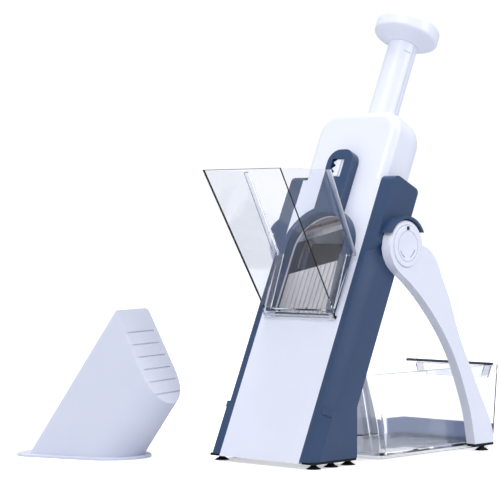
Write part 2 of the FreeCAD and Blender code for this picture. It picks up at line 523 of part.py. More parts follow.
# the leg's front shoulder folds up inside the hood
swept = cyl(HOOD_R + 12, LEG_W + 2, (LEG_X0 - 1, 0, PIVOT_Z), (1, 0, 0))
swept = swept.cut(cyl(HOOD_R - GAP, LEG_W + 4, (LEG_X0 - 2, 0, PIVOT_Z), (1, 0, 0)))
leg = leg.cut(swept.common(box(0, 100, -60, 0, PIVOT_Z - HOOD_R * 0.6, PIVOT_Z + 60)))
pair("leg", leg)
foot_y0, foot_y1 = LEG_FRONT[-1][0], LEG_BACK[0][0]
pair("leg_pad", box(LEG_X0 + 0.1, leg_x1 - 0.1, FOOT_Y0 + foot_y0 + 0.3, FOOT_Y0 + foot_y1 - 0.1,
                    FOOT_H, LEG_FRONT[-1][1]))
leg_foot = suction_foot(LEG_X0 + LEG_W / 2.0 + 1.4, FOOT_Y0 + (foot_y0 + foot_y1) / 2.0)
leg_foot = leg_foot.common(box(LEG_X0 + 0.1, 100, -400, 400, -1, 50))
pair("leg_foot", leg_foot)

dial_x0 = leg_x1 - 3.3
dial = cyl(DIAL_R, 4.4, (dial_x0, 0, PIVOT_Z), (1, 0, 0))
dial = rounded(dial, 0.9, lambda b: b.XMin > dial_x0 + 4)
dial = dial.cut(Part.makeSphere(60.0, V(dial_x0 + 4.4 + 58.7, 0, PIVOT_Z)))


def washer(outer, inner, x0, width):
    """A flat ring round the pivot line."""
    hole = cyl(inner, width + 2, (x0 - 1, 0, PIVOT_Z), (1, 0, 0))
    return cyl(outer, width, (x0, 0, PIVOT_Z), (1, 0, 0)).cut(hole)


dial = dial.cut(washer(12.9, 12.3, dial_x0 + 3.7, 1.0))
for start in (200.0, 290.0):
    arc = washer(10.4, 9.0, dial_x0 + 2.4, 2.0)
    a0, a1 = math.radians(start), math.radians(start + 50.0)
    fan = prism([(0, PIVOT_Z), (30 * math.cos(a0), PIVOT_Z + 30 * math.sin(a0)),
                 (40 * math.cos((a0 + a1) / 2), PIVOT_Z + 40 * math.sin((a0 + a1) / 2)),
                 (30 * math.cos(a1), PIVOT_Z + 30 * math.sin(a1))], "x", dial_x0, dial_x0 + 8)
    dial = dial.cut(arc.common(fan))
dial = dial.fuse(cyl(SHAFT_R, dial_x0 - HALF + 1.9, (HALF - 1.9, 0, PIVOT_Z), (1, 0, 0)))
mark = box(dial_x0 + 3.4, dial_x0 + 4.6, -1.6, 1.6, PIVOT_Z + 13.2, PIVOT_Z + 16.2)
dial = dial.cut(mark)
clip_ring = washer(SHAFT_R + 2.4, SHAFT_R, HALF - 1.7, 1.2)
clip_ring = clip_ring.cut(box(HALF - 4, HALF + 1, -1.5, 1.5, PIVOT_Z - 20, PIVOT_Z))
for name, shape in (("dial", dial), ("dial_mark", mark), ("dial_clip", clip_ring)):
    save("thickness_" + name, shape)
    save("cut_" + name, mirror(shape))

# ================= feed hopper =================
rim_f, rim_b = V(0, FOOT_Y0 + RIM_FRONT, RIM_Z), V(0, FOOT_Y0 + RIM_BACK, RIM_Z)


def world(t, s):
    return V(0, FOOT_Y0 + t * COS + s * SIN, PANEL_FOOT - t * SIN + s * COS)


seat_t = -4.6
base = world(seat_t, 129.0)
top_c = world(seat_t, 179.0)
side_pts = [(p.y, p.z) for p in (rim_f, rim_b, top_c, base)]


def taper(inset):
    """The hopper's width narrows evenly from the rim to its foot."""
    k = (RIM_HALF - NECK_IN) / (RIM_Z - base.z)
    hi, lo = RIM_HALF - inset + 40 * k, NECK_IN - inset - 40 * k
    side = [(-lo, base.z - 40), (lo, base.z - 40), (hi, RIM_Z + 40), (-hi, RIM_Z + 40)]
    return prism(side, "y", -250, 250)


solid = prism(side_pts, "x", -80, 80)
outer = solid.common(taper(0))
down = (base - rim_f).normalize()
inward = V(0, down.z, -down.y) * -1.0
inner_f = rim_f + inward * CLEAR_WALL - down * 60
inner_b = base + inward * CLEAR_WALL + down * 60
room_pts = (inner_f, inner_f + V(0, 300, 0), inner_b + V(0, 300, 0), inner_b)
room = prism([(p.y, p.z) for p in room_pts], "x", -80, 80)
hopper = outer.cut(room.common(taper(CLEAR_WALL)))
# outward flange down each rear edge, and a rounded lip under the mouth
along = (top_c - rim_b).normalize()
across = V(0, along.z, -along.y)
strip = [rim_b, top_c, top_c + across * CLEAR_WALL, rim_b + across * CLEAR_WALL]
if across.y > 0:
    strip = [rim_b, top_c, top_c - across * CLEAR_WALL, rim_b - across * CLEAR_WALL]
flange = prism([(p.y, p.z) for p in strip], "x", -80, 80).common(taper(-FLANGE)).cut(taper(CLEAR_WALL))
flange = flange.common(box(-100, 100, -400, 400, 0, RIM_Z))
LIP_S0, LIP_S1 = 124.2, 126.8
lip = box(-NECK_IN, NECK_IN, -3.4, RECESS_D - SEAT, LIP_S0, LIP_S1)
lip = rounded(lip, 1.8, lambda b: b.YLength > 1 and b.XLength < 0.1 and b.ZMax < LIP_S0 + 1)
ramp_pts = [(-3.4, LIP_S0 + 0.6), (-1.8, LIP_S1), (-4.6, 129.6), (-6.2, 128.8)]
ramp = prism(ramp_pts, "x", -NECK_IN, NECK_IN)
# the side walls turn inwards over the bezel's legs
leg_line = [(-BEZEL_LOW_H - SEAT, BEZEL_S0), (-BEZEL_H - SEAT, BEZEL_ARC_S)]
facing = leg_line + [(t - CLEAR_WALL, s) for t, s in reversed(leg_line)]
facing = prism(facing, "x", MOUTH_HALF, BEZEL_HALF + 1.5)
facing = facing.common(prism([(-30, 100), (5, 100), (5, 178), (-30, 178)], "x", 0, 60))
hopper = hopper.fuse(flange).fuse(lean(lip)).fuse(lean(ramp)).fuse(lean(both(facing)))
keep_out = prism([(-BEZEL_LOW_H - SEAT, BEZEL_S0 - SEAT), (-BEZEL_H - SEAT, BEZEL_ARC_S),
                  (-BEZEL_H - SEAT, 260), (0.0, 260), (0.0, BEZEL_S0 - SEAT)],
                 "x", -BEZEL_HALF - SEAT, BEZEL_HALF + SEAT)
hopper = hopper.cut(lean(keep_out)).removeSplitter()
save("feed_hopper", hopper)


# ================= container =================
def tub(o, z0, z1):
    """Rounded box with drafted walls, shrunk by o."""
    def section(z):
        f = z / BOX_H
        hw = BOX_HALF + (BOX_RIM_HALF - BOX_HALF) * f - o
        ya = FOOT_Y0 + BOX_Y0 + (BOX_RIM_Y0 - BOX_Y0) * f + o
        yb = FOOT_Y0 + BOX_Y1 + (BOX_RIM_Y1 - BOX_Y1) * f - o
        pts = [(-hw, ya), (hw, ya), (hw, yb), (-hw, yb)]
        arcs, n = [], 4
        for i in range(n):
            r = max((BOX_R_FRONT if i < 2 else BOX_R_REAR) - o, 0.8)
            x, y = pts[i]
            px, py = pts[i - 1]
            qx, qy = pts[(i + 1) % n]
            def toward(ax, ay):
                d = math.hypot(ax - x, ay - y)
                return V(x + (ax - x) * r / d, y + (ay - y) * r / d, z)
            a, b = toward(px, py), toward(qx, qy)
            c = V((a.x + b.x) / 2, (a.y + b.y) / 2, z)
            m = V(x, y, z) + (c - V(x, y, z)) * (2.0 * (1 - 1 / math.sqrt(2)))
            arcs.append((a, m, b))
        edges = []
        for i in range(n):
            a, m, b = arcs[i]
            edges.append(Part.Arc(a, m, b).toShape())
            edges.append(Part.makeLine(b, arcs[(i + 1) % n][0]))
        return Part.Wire(edges)
    return Part.makeLoft([section(z0), section(z1)], True, True)


tray = tub(0, BOX_BASE, BOX_H).cut(tub(BOX_WALL, BOX_BASE + BOX_FLOOR, BOX_H + 5))
ring = tub(5.5, 0.0, BOX_BASE + 0.5).cut(tub(7.5, -0.5, BOX_BASE + 1.0))
tray = tray.fuse(ring)
# pull lip behind the rear wall
yr = FOOT_Y0 + BOX_RIM_Y1
lip = prism([(-39, BOX_H), (39, BOX_H), (34, BOX_H - 13), (-34, BOX_H - 13)], "y", yr - 0.9, yr + 11.0)
under = [(-37.2, BOX_H - 1.8), (37.2, BOX_H - 1.8), (32.4, BOX_H - 20), (-32.4, BOX_H - 20)]
lip = lip.cut(prism(under, "y", yr - 2, yr + 9.4))
strip = box(-48.0, 48.0, yr - 1.9, yr + 0.6, BOX_H - 0.9, BOX_H + 1.3)
tray = tray.fuse(lip).cut(strip).removeSplitter()
save("slice_container", tray)
save("container_strip", strip)


# ================= food pusher =================
def pusher_place(shape):
    out = shape.copy()
    out.rotate(V(0, 0, 0), V(0, 0, 1), PUSHER_TURN)
    out.translate(V(PUSHER_AT[0], FOOT_Y0 + PUSHER_AT[1], 0))
    return out


def tongue(o, z, front_r, reach=0.0):
    """Flat front, round back: the pusher's level section, shrunk by o, longer in front by reach."""
    w, deep = PUSHER_W, PUSHER_DEEP
    r = w / 2.0 - o
    flat = Part.makeBox(deep - w / 2.0 - o + reach, w - 2 * o, 1, V(o - reach, o, z))
    flat = rounded(flat, front_r, lambda b: b.ZLength > 0.9 and b.XMax < o - reach + 0.01)
    body = flat.fuse(Part.makeCylinder(r, 1, V(deep - w / 2.0, w / 2.0, z))).removeSplitter()
    return [f for f in body.Faces if f.BoundBox.ZLength < 1e-6 and abs(f.BoundBox.ZMin - z) < 1e-6][0]


(tip_x, tip_z), (end_x, end_z) = PUSHER_TIP, PUSHER_END
RIM_T = 2.4
slope = tip_x / tip_z
sweep = V(slope * 150.0, 0, 150.0)
face_len = math.hypot(end_x - tip_x, tip_z - end_z)
nx, nz = (tip_z - end_z) / face_len, (end_x - tip_x) / face_len


def beyond(back):
    """Everything past the ribbed face, moved back into the pusher by this much."""
    x0, z0 = tip_x - nx * back, tip_z - nz * back
    x1, z1 = end_x - nx * back, end_z - nz * back
    gx, gz = (x1 - x0) * 2, (z1 - z0) * 2
    far = x1 + gx + 400
    return prism([(x0 - gx, z0 - gz), (x1 + gx, z1 + gz), (far, z1 + gz), (far, z0 - gz)], "y", -50, 120)


outside = tongue(0, RIM_T, 5.0).extrude(sweep).cut(beyond(0))
inside = tongue(PUSHER_WALL, -4.0, 3.0)
inside.translate(V(slope * -(RIM_T + 4.0), 0, 0))
inside = inside.extrude(sweep).cut(beyond(PUSHER_WALL))
pusher = outside.cut(inside)
skin = beyond(0.7).common(box(-400, 400, 7.0, PUSHER_W - 7.0, -400, 400))
for i in range(GROOVES):
    z = tip_z - 17.0 - GROOVE_PITCH * i
    pusher = pusher.cut(skin.common(box(-400, 400, -50, 120, z - 0.55, z + 0.55)))
save("pusher_body", pusher_place(pusher))
plate = tongue(-PUSHER_RIM, 0.0, 18.0, PUSHER_REACH).extrude(V(0, 0, RIM_T))
plate = rounded(plate, 0.9, lambda b: b.ZMin > RIM_T - 0.1)
save("pusher_flange", pusher_place(plate.cut(inside)))
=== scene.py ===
# %% [markdown]
# # A press-down mandoline slicer
# The slicer leans back on two slate side frames and two white legs. The cook drops food
# into the clear hopper and pushes the palm knob: a slanted blade behind the chute comes
# down and the slices fall into the clear container. A separate hand guard stands beside it.
# The shapes and sizes were settled in the mechanical model. This lesson gives them their
# finishes, and it rebuilds the pieces whose detail follows a simple rule.

# %% Load the mechanical model
import bpy
import bmesh
import json
import math
from mathutils import Matrix, Vector


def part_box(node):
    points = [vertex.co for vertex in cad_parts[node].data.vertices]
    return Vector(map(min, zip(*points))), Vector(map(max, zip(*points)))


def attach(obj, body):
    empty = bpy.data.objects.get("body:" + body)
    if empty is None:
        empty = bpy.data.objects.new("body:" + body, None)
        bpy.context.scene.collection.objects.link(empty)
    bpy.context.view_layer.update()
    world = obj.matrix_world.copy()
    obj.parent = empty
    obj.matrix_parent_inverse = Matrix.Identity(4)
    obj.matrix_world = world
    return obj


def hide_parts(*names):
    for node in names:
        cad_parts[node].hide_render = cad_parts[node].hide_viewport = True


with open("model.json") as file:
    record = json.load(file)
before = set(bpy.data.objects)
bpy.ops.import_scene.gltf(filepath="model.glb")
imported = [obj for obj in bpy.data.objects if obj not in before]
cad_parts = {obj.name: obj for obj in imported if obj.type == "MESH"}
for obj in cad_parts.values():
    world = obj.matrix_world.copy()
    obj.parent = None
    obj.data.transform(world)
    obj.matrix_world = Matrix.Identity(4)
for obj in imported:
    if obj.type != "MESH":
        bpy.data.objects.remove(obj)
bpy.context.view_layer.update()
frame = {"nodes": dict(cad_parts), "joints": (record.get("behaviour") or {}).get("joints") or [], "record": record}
MM = 0.001
nodes = frame["nodes"]
joints = {joint["name"]: joint for joint in frame["joints"]}
body_of = {n: body for body, names in frame["record"]["behaviour"]["bodies"].items() for n in names}
slot_of = {part["node"]: part["material_slot"] for part in frame["record"]["subparts"]}
print("pieces in the model:", len(nodes))

# %% [markdown]
# The body leans back by about 24 degrees, so it is easier to measure and build its pieces
# upright. The push rod slides along the lean, so the joint's own direction gives the angle.
# "Upright" below means turned so that the lean is taken out.

# %% Leaning and upright
slide = Vector(joints["plunger_press"]["axis"])
LEAN = math.atan2(slide.y, slide.z)
to_upright = Matrix.Rotation(LEAN, 4, "X")
to_lean = to_upright.inverted()


def upright_box(name):
    """Lowest and highest corner of a piece after its lean is taken out."""
    points = [to_upright @ v.co for v in nodes[name].data.vertices]
    low = Vector(min(p[i] for p in points) for i in range(3))
    high = Vector(max(p[i] for p in points) for i in range(3))
    return low, high


print("lean in degrees:", round(math.degrees(LEAN), 2))

# %% [markdown]
# Every material below is made of nodes. One function turns a screen colour into the linear
# numbers that the renderer works in, and one adds a node with its values and its links.

# %% Colour and node helpers


def linear(code):
    """A colour written as RRGGBB in hex, as linear red, green, blue and alpha."""
    parts = [int(code[i:i + 2], 16) / 255.0 for i in (0, 2, 4)]
    return [c / 12.92 if c <= 0.04045 else ((c + 0.055) / 1.055) ** 2.4 for c in parts] + [1.0]


def add(tree, kind, values=None, links=None, **settings):
    """A new node: settings on the node, values on its sockets, links into its sockets."""
    node = tree.nodes.new(kind)
    for name, value in settings.items():
        setattr(node, name, value)
    for name, value in (values or {}).items():
        node.inputs[name].default_value = value
    for name, socket in (links or {}).items():
        tree.links.new(socket, node.inputs[name])
    return node


def new_material(name, **values):
    """A material with one Principled shader, whose uniform values are set on its sockets."""
    material = bpy.data.materials.new(name)
    material.use_nodes = True
    tree = material.node_tree
    shader = tree.nodes["Principled BSDF"]
    for socket, value in values.items():
        shader.inputs[socket.replace("_", " ")].default_value = value
    return material, tree, shader


def per_metre(millimetres):
    """Noise scale that gives features about this many millimetres across."""
    return 1.0 / (millimetres * MM)


print("white in linear numbers:", [round(c, 3) for c in linear("ECEFF8")[:3]])

# %% [markdown]
# The white and slate pieces are injection-moulded ABS. A polished mould gives a soft gloss
# with a faint waviness a few centimetres long, and the steel's fine texture leaves a grain.
# The real grain is near 0.2 mm. It is drawn about four times as coarse, so that it shows.

# %% Moulded plastic


def moulded(name, colour, colour_low, rough, rough_span, grain_mm, grain_depth, wave_depth=0.15, **extra):
    """Moulded plastic: a slow drift of tone and surface, and a fine grain in gloss and bump."""
    material, tree, shader = new_material(name, **extra)
    place = add(tree, "ShaderNodeTexCoord").outputs["Object"]
    drift = add(tree, "ShaderNodeTexNoise", {"Scale": per_metre(45), "Detail": 2.0}, {"Vector": place})
    tone = add(tree, "ShaderNodeMix", {"A": linear(colour_low), "B": linear(colour)},
               {"Factor": drift.outputs["Fac"]}, data_type="RGBA")
    grain = add(tree, "ShaderNodeTexNoise", {"Scale": per_metre(grain_mm), "Detail": 3.0}, {"Vector": place})
    gloss = add(tree, "ShaderNodeMapRange", {"To Min": rough, "To Max": rough + rough_span},
                {"Value": grain.outputs["Fac"]})
    wave = add(tree, "ShaderNodeBump", {"Strength": wave_depth, "Distance": 0.4 * MM},
               {"Height": drift.outputs["Fac"]})
    bump = add(tree, "ShaderNodeBump", {"Strength": grain_depth, "Distance": 0.05 * MM},
               {"Height": grain.outputs["Fac"], "Normal": wave.outputs["Normal"]})
    tree.links.new(tone.outputs["Result"], shader.inputs["Base Color"])
    tree.links.new(gloss.outputs["Result"], shader.inputs["Roughness"])
    tree.links.new(bump.outputs["Normal"], shader.inputs["Normal"])
    return material


white_abs = moulded("white_abs_polished", "E4E7F4", "DDE1F0", 0.26, 0.10, 0.9, 0.15, IOR=1.54)
slate_abs = moulded("slate_abs_textured", "2C466C", "263E60", 0.32, 0.14, 0.8, 0.45, IOR=1.54)
grey_abs = moulded("grey_abs_satin", "D6D3D4", "C9C6C8", 0.38, 0.12, 0.9, 0.25, IOR=1.54)
plate_abs = moulded("warm_grey_abs_polished", "8F8588", "7F767A", 0.24, 0.10, 0.9, 0.15, IOR=1.54)
# The carriage and rear guard get a slate darkened past its own colour: painted shade for the dark gap behind the
# blade.
shade_darkened_abs = moulded("slate_abs_darkened_as_shade", "1A2236", "141A2A", 0.45, 0.16, 0.8, 0.45, IOR=1.54)
natural_pp = moulded("natural_white_polypropylene", "D8DCEB", "D0D5E6", 0.34, 0.10, 1.1, 0.2, IOR=1.49)
acetal = moulded("acetal_natural", "EDEBE4", "E3E1DA", 0.34, 0.10, 1.1, 0.15, IOR=1.48)
black_mark = moulded("black_abs_insert", "17181C", "101114", 0.40, 0.15, 0.8, 0.3, IOR=1.54)
print("moulded finishes made")

# %% [markdown]
# The feet and pads are soft moulded rubber. Rubber scatters light, so it looks dull, and it
# picks up a little dust, which shows as paler patches a few millimetres across.

# %% Rubber
rubber, tree, shader = new_material("black_moulded_rubber", IOR=1.52, Specular_IOR_Level=0.3)
place = add(tree, "ShaderNodeTexCoord").outputs["Object"]
dust = add(tree, "ShaderNodeTexNoise", {"Scale": per_metre(5), "Detail": 5.0}, {"Vector": place})
tone = add(tree, "ShaderNodeMix", {"A": linear("0B0C0F"), "B": linear("1B1D22")},
           {"Factor": dust.outputs["Fac"]}, data_type="RGBA")
gloss = add(tree, "ShaderNodeMapRange", {"To Min": 0.55, "To Max": 0.85}, {"Value": dust.outputs["Fac"]})
bump = add(tree, "ShaderNodeBump", {"Strength": 0.3, "Distance": 0.1 * MM}, {"Height": dust.outputs["Fac"]})
tree.links.new(tone.outputs["Result"], shader.inputs["Base Color"])
tree.links.new(gloss.outputs["Result"], shader.inputs["Roughness"])
tree.links.new(bump.outputs["Normal"], shader.inputs["Normal"])
print("rubber made")

# %% [markdown]
# The hopper is smoky clear polycarbonate and the container is faintly grey polystyrene.
# Both are real solids with a thickness, so light bends at both faces of a wall. The flow of
# the plastic into its mould leaves slow waves, which make the reflections swim a little.
# Each has one part drawn differently: the hopper's right flange is frosted, and the lower
# band round the container's back is tinted darker. A distance from a plane picks that part out.
# Real polycarbonate bends light at 1.58 and polystyrene at 1.59. Both are set lower here,
# because these thin walls hardly veil what is behind them.

# %% Clear plastic


def beyond_plane(tree, place, point, direction, blend_mm):
    """0 on one side of a plane and 1 on the side the direction points to, softly blended."""
    offset = add(tree, "ShaderNodeVectorMath", links={0: place}, operation="SUBTRACT")
    offset.inputs[1].default_value = point
    along = add(tree, "ShaderNodeVectorMath", links={0: offset.outputs["Vector"]}, operation="DOT_PRODUCT")
    along.inputs[1].default_value = direction
    return add(tree, "ShaderNodeMapRange", {"From Min": 0.0, "From Max": blend_mm * MM},
               {"Value": along.outputs["Value"]}).outputs["Result"]


def clear(name, colour, colour_low, masked_tint, ior, rough, masked_roughness, wave_mm, depth, planes):
    """Clear plastic, with a darker tint and a rougher surface where a point is beyond every one of the planes."""
    material, tree, shader = new_material(name, IOR=ior, Transmission_Weight=1.0)
    place = add(tree, "ShaderNodeTexCoord").outputs["Object"]
    flow = add(tree, "ShaderNodeTexNoise", {"Scale": per_metre(wave_mm), "Detail": 1.0}, {"Vector": place})
    haze = add(tree, "ShaderNodeTexNoise", {"Scale": per_metre(2), "Detail": 4.0}, {"Vector": place})
    masks = [beyond_plane(tree, place, *plane) for plane in planes]
    mask = masks[0]
    for other in masks[1:]:
        both = add(tree, "ShaderNodeMath", links={0: mask, 1: other}, operation="MULTIPLY")
        mask = both.outputs["Value"]
    tone = add(tree, "ShaderNodeMix", {"A": linear(colour_low), "B": linear(colour)},
               {"Factor": flow.outputs["Fac"]}, data_type="RGBA")
    tint = add(tree, "ShaderNodeMix", {"B": linear(masked_tint)},
               {"Factor": mask, "A": tone.outputs["Result"]}, data_type="RGBA")
    gloss = add(tree, "ShaderNodeMapRange", {"To Min": rough, "To Max": rough * 2.5},
                {"Value": haze.outputs["Fac"]})
    frost = add(tree, "ShaderNodeMath", {1: masked_roughness}, {0: mask}, operation="MULTIPLY")
    total = add(tree, "ShaderNodeMath", links={0: gloss.outputs["Result"], 1: frost.outputs["Value"]},
                operation="ADD")
    bump = add(tree, "ShaderNodeBump", {"Strength": depth, "Distance": 0.3 * MM},
               {"Height": flow.outputs["Fac"]})
    tree.links.new(tint.outputs["Result"], shader.inputs["Base Color"])
    tree.links.new(total.outputs["Value"], shader.inputs["Roughness"])
    tree.links.new(bump.outputs["Normal"], shader.inputs["Normal"])
    return material


FLANGE = 4.6 * MM
BAND_HEIGHT = 20 * MM
BAND_DEPTH = 40 * MM
_, hopper_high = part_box("feed_hopper")
tray_low, tray_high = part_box("slice_container")
flange_side = (hopper_high.x - FLANGE, 0.0, 0.0)
smoky_clear = clear("smoky_polycarbonate", "F6F7FA", "F1F3F7", "E6E9F4", 1.45, 0.012, 0.45, 40, 0.2,
                    [(flange_side, (1.0, 0.0, 0.0), 0.8)])
# The lower band round the container's back is tinted dark grey, so the bottom of the back wall is drawn darker.
band_top = (0.0, 0.0, tray_low.z + BAND_HEIGHT)
back_wall = (0.0, tray_high.y - BAND_DEPTH, 0.0)
grey_clear = clear("grey_polystyrene_darker_back_band", "F3F4F7", "EDEFF3", "56617C", 1.52, 0.015, 0.05, 30, 0.3,
                   [(band_top, (0.0, 0.0, -1.0), 0.6), (back_wall, (0.0, 1.0, 0.0), 2.0)])
print("clear plastics made")

# %% [markdown]
# Steel shows how it was worked: the blade is ground across its width, the rods are drawn
# along their length, and the screws are plated. Stretched noise makes the fine lines. Real
# grinding lines are near 0.05 mm apart and are drawn at 0.4 mm so that they show.

# %% Steel


def steel(name, colour, colour_low, rough, stretch):
    """Steel with fine lines along the axes whose stretch is small."""
    material, tree, shader = new_material(name, Metallic=1.0)
    place = add(tree, "ShaderNodeTexCoord").outputs["Object"]
    line = add(tree, "ShaderNodeMapping", {"Scale": stretch}, {"Vector": place})
    scratch = add(tree, "ShaderNodeTexNoise", {"Scale": per_metre(0.4), "Detail": 4.0},
                  {"Vector": line.outputs["Vector"]})
    tone = add(tree, "ShaderNodeMix", {"A": linear(colour_low), "B": linear(colour)},
               {"Factor": scratch.outputs["Fac"]}, data_type="RGBA")
    gloss = add(tree, "ShaderNodeMapRange", {"To Min": rough, "To Max": rough + 0.18},
                {"Value": scratch.outputs["Fac"]})
    bump = add(tree, "ShaderNodeBump", {"Strength": 0.2, "Distance": 0.02 * MM},
               {"Height": scratch.outputs["Fac"]})
    tree.links.new(tone.outputs["Result"], shader.inputs["Base Color"])
    tree.links.new(gloss.outputs["Result"], shader.inputs["Roughness"])
    tree.links.new(bump.outputs["Normal"], shader.inputs["Normal"])
    return material


blade_steel = steel("ground_stainless_steel", "D9DADD", "C2C4C9", 0.20, (1.0, 0.08, 0.08))
drawn_steel = steel("drawn_stainless_steel", "C6C8CC", "A9ACB2", 0.22, (1.0, 1.0, 0.05))
plated_steel = steel("zinc_plated_steel", "B6B8BB", "96999E", 0.30, (1.0, 1.0, 1.0))
finish_of_slot = {
    "white_abs": white_abs, "slate_abs": slate_abs, "grey_abs": grey_abs, "black_rubber": rubber,
    "clear_plastic": smoky_clear, "tinted_plastic": grey_clear, "blade_steel": blade_steel,
    "bright_steel": drawn_steel, "screw_steel": plated_steel, "acetal": acetal,
    "black_plastic": black_mark,
}
finish_of = {name: finish_of_slot[slot] for name, slot in slot_of.items()}
# The carriage and rear guard take the darkened slate as painted shade in the gap behind the blade.
finish_of.update({"rear_guard": shade_darkened_abs, "carriage": shade_darkened_abs, "upper_plate": plate_abs,
                  "pusher_body": natural_pp, "pusher_flange": natural_pp})
for name, piece in nodes.items():
    for place in piece.material_slots:
        place.material = finish_of[name]
print("finishes:", len(finish_of_slot))

# %% [markdown]
# A mould never leaves a razor-sharp edge. The visible mouldings are copied from the model,
# their flat faces are joined up again, and a small round is put on every sharp edge, which
# catches a thin line of light. The copy stands in for the model's own piece.

# %% Round the moulded edges


def clean_copy(name):
    """The model's mesh as a closed surface, with its flat faces joined."""
    mesh = bpy.data.meshes.new(name + "_moulding")
    work = bmesh.new()
    work.from_mesh(nodes[name].data)
    bmesh.ops.remove_doubles(work, verts=work.verts, dist=2e-6)
    bmesh.ops.dissolve_limit(work, angle_limit=math.radians(0.4), verts=work.verts, edges=work.edges)
    work.to_mesh(mesh)
    work.free()
    return mesh


def settle(piece, name):
    """Fix the piece's modifiers into its mesh, and let it ride in place of the model's piece."""
    bpy.context.view_layer.update()
    shape = piece.evaluated_get(bpy.context.evaluated_depsgraph_get())
    final = bpy.data.meshes.new_from_object(shape)
    piece.modifiers.clear()
    piece.data = final
    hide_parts(name)
    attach(piece, body_of[name])


SHARP = math.radians(32)


def round_edges(name, radius_mm):
    """Round every edge of one moulding that turns by more than SHARP."""
    mesh = clean_copy(name)
    mesh.shade_smooth()
    mesh.set_sharp_from_angle(angle=SHARP)
    piece = bpy.data.objects.new(name + "_moulding", mesh)
    bpy.context.scene.collection.objects.link(piece)
    mesh.materials.clear()
    mesh.materials.append(finish_of[name])
    bevel = piece.modifiers.new("round", "BEVEL")
    bevel.width = radius_mm * MM
    bevel.segments = 2
    bevel.limit_method = "ANGLE"
    bevel.angle_limit = SHARP
    bevel.use_clamp_overlap = True
    bevel.harden_normals = True
    weight = piece.modifiers.new("even", "WEIGHTED_NORMAL")
    weight.keep_sharp = True
    settle(piece, name)
    print(name, "rounded by", radius_mm, "mm,", len(piece.data.polygons), "faces")


# Radius of each moulding's edges, in millimetres.
ROUNDS = {
    "front_shell": 0.5, "rear_shell": 0.4, "side_frame_left": 0.7, "side_frame_right": 0.7,
    "chute_bezel": 0.35, "lock_slider": 0.25, "feed_hopper": 0.3, "slice_container": 0.35,
    "upper_plate": 0.3, "plunger_rod": 0.2, "leg_left": 0.8, "leg_right": 0.8,
    "frame_pad_left": 0.3, "frame_pad_right": 0.3,
    "leg_pad_left": 0.3, "leg_pad_right": 0.3, "container_strip": 0.3, "rod_bush": 0.2,
}
for name, radius in ROUNDS.items():
    round_edges(name, radius)

# %% [markdown]
# Some pieces follow a rule, and Geometry Nodes states it. A turned or moulded round piece is
# a cylinder whose radius is read off a curve at every height. The first group below is that
# lathe. Its inputs are real sizes, so the palm knob and the feet can use the same rule.

# %% Geometry Nodes helpers


def new_group(name, inputs):
    """An empty node group for a modifier, with its inputs and one geometry output."""
    tree = bpy.data.node_groups.new(name, "GeometryNodeTree")
    tree.interface.new_socket("Geometry", in_out="OUTPUT", socket_type="NodeSocketGeometry")
    for label, kind, value in inputs:
        socket = tree.interface.new_socket(label, in_out="INPUT", socket_type=kind)
        socket.default_value = value
    return tree, add(tree, "NodeGroupInput"), add(tree, "NodeGroupOutput")


def finish_group(tree, geometry, output, material):
    """Every group ends with real geometry in one material."""
    real = add(tree, "GeometryNodeRealizeInstances", links={"Geometry": geometry})
    coat = add(tree, "GeometryNodeSetMaterial", {"Material": material}, {"Geometry": real.outputs["Geometry"]})
    tree.links.new(coat.outputs["Geometry"], output.inputs["Geometry"])


def run_group(tree, name, values):
    """A piece made by a group from these values, smooth but for its sharp edges."""
    holder = bpy.data.objects.new(name, bpy.data.meshes.new(name + "_start"))
    bpy.context.scene.collection.objects.link(holder)
    modifier = holder.modifiers.new("rule", "NODES")
    modifier.node_group = tree
    for item in tree.interface.items_tree:
        if item.in_out == "INPUT":
            modifier[item.identifier] = values[item.name]
    bpy.context.view_layer.update()
    shape = holder.evaluated_get(bpy.context.evaluated_depsgraph_get())
    mesh = bpy.data.meshes.new_from_object(shape)
    holder.modifiers.clear()
    holder.data = mesh
    mesh.shade_smooth()
    mesh.set_sharp_from_angle(angle=math.radians(40))
    return holder


def place_piece(piece, name, matrix):
    """Put the made mesh where the model has the piece, and let it ride in its place."""
    piece.data.transform(matrix)
    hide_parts(name)
    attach(piece, body_of[name])
    print(name, "made with", len(piece.data.polygons), "faces")


